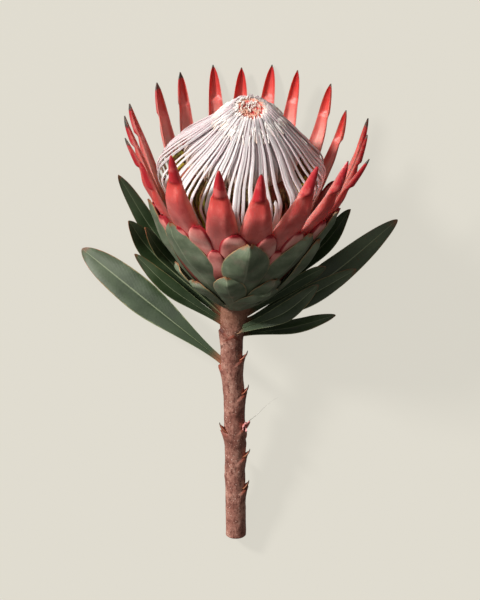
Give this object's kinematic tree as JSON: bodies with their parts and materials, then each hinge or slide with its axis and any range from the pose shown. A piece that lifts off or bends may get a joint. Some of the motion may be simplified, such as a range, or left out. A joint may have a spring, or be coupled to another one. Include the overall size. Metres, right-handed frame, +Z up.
{
  "type": "cut flower stem",
  "caption": "Cut stem of a large sugarbush flower: a woody stem with leathery leaves and a cup of pointed pink bracts round a dome of pale styles, lying on its back.",
  "frame": {"origin": "middle of the bounding box's bottom face, on the surface that the flower lies on", "axes": "+Z up; +Y along the stem from its cut end towards the head's peak; +X to the right of the flower as seen from above"},
  "size_m": [0.1923, 0.2928, 0.1434],
  "materials": {
    "bark": "mauve-brown mottled bark, matt, with pinkish leaf scars",
    "green_bract": "grey-green leathery bract with a waxy bloom and a thin orange-brown margin",
    "pink_scale": "pale pink scale with a whitish bloom and red margin",
    "long_bract": "satin coral-pink bract, dark red towards its point",
    "style": "silky white to pale pink rods",
    "leaf": "dark green leathery leaf with a satin face, pale midrib and reddish margin"
  },
  "bodies": {
    "root": {"stem": "bark", "green_bracts_small": "green_bract", "green_bracts_large": "green_bract", "pink_scales": "pink_scale", "long_bracts": "long_bract", "styles": "style", "leaf_left_large": "leaf", "leaf_left_narrow": "leaf", "leaf_left_folded": "leaf", "leaf_left_upper": "leaf", "leaf_left_dark": "leaf", "leaf_right_large": "leaf", "leaf_right_second": "leaf", "leaf_front_right": "leaf", "leaf_right_low": "leaf", "leaf_right_dark": "leaf", "leaf_right_upper": "leaf", "leaf_back_right": "leaf", "leaf_back_middle": "leaf", "leaf_back_left": "leaf"}
  },
  "joints": []
}
